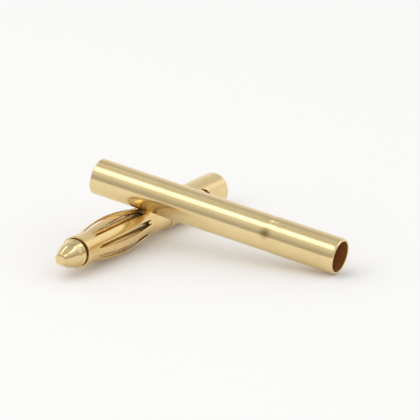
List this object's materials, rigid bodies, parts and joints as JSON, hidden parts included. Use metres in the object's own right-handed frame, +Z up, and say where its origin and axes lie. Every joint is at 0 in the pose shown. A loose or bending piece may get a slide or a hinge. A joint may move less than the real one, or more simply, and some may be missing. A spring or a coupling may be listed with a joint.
{
  "type": "gold battery lead connector",
  "caption": "Gold plated bullet connector pair: a plug with a bowed spring cage and solder cup, lying under its plain socket tube.",
  "frame": {"origin": "middle of the pair's footprint, on the surface that it lies on", "axes": "+X along the plug, from its nose to its solder cup; +Z up"},
  "size_m": [0.02, 0.0188, 0.0055],
  "materials": {
    "gold_pin": "gold plated, polished",
    "gold_spring": "gold plated, polished",
    "gold_tube": "pale gold plated, satin drawn"
  },
  "bodies": {
    "root": {"plug_pin": "gold_pin", "contact_spring": "gold_spring", "socket_tube": "gold_tube"}
  },
  "joints": []
}
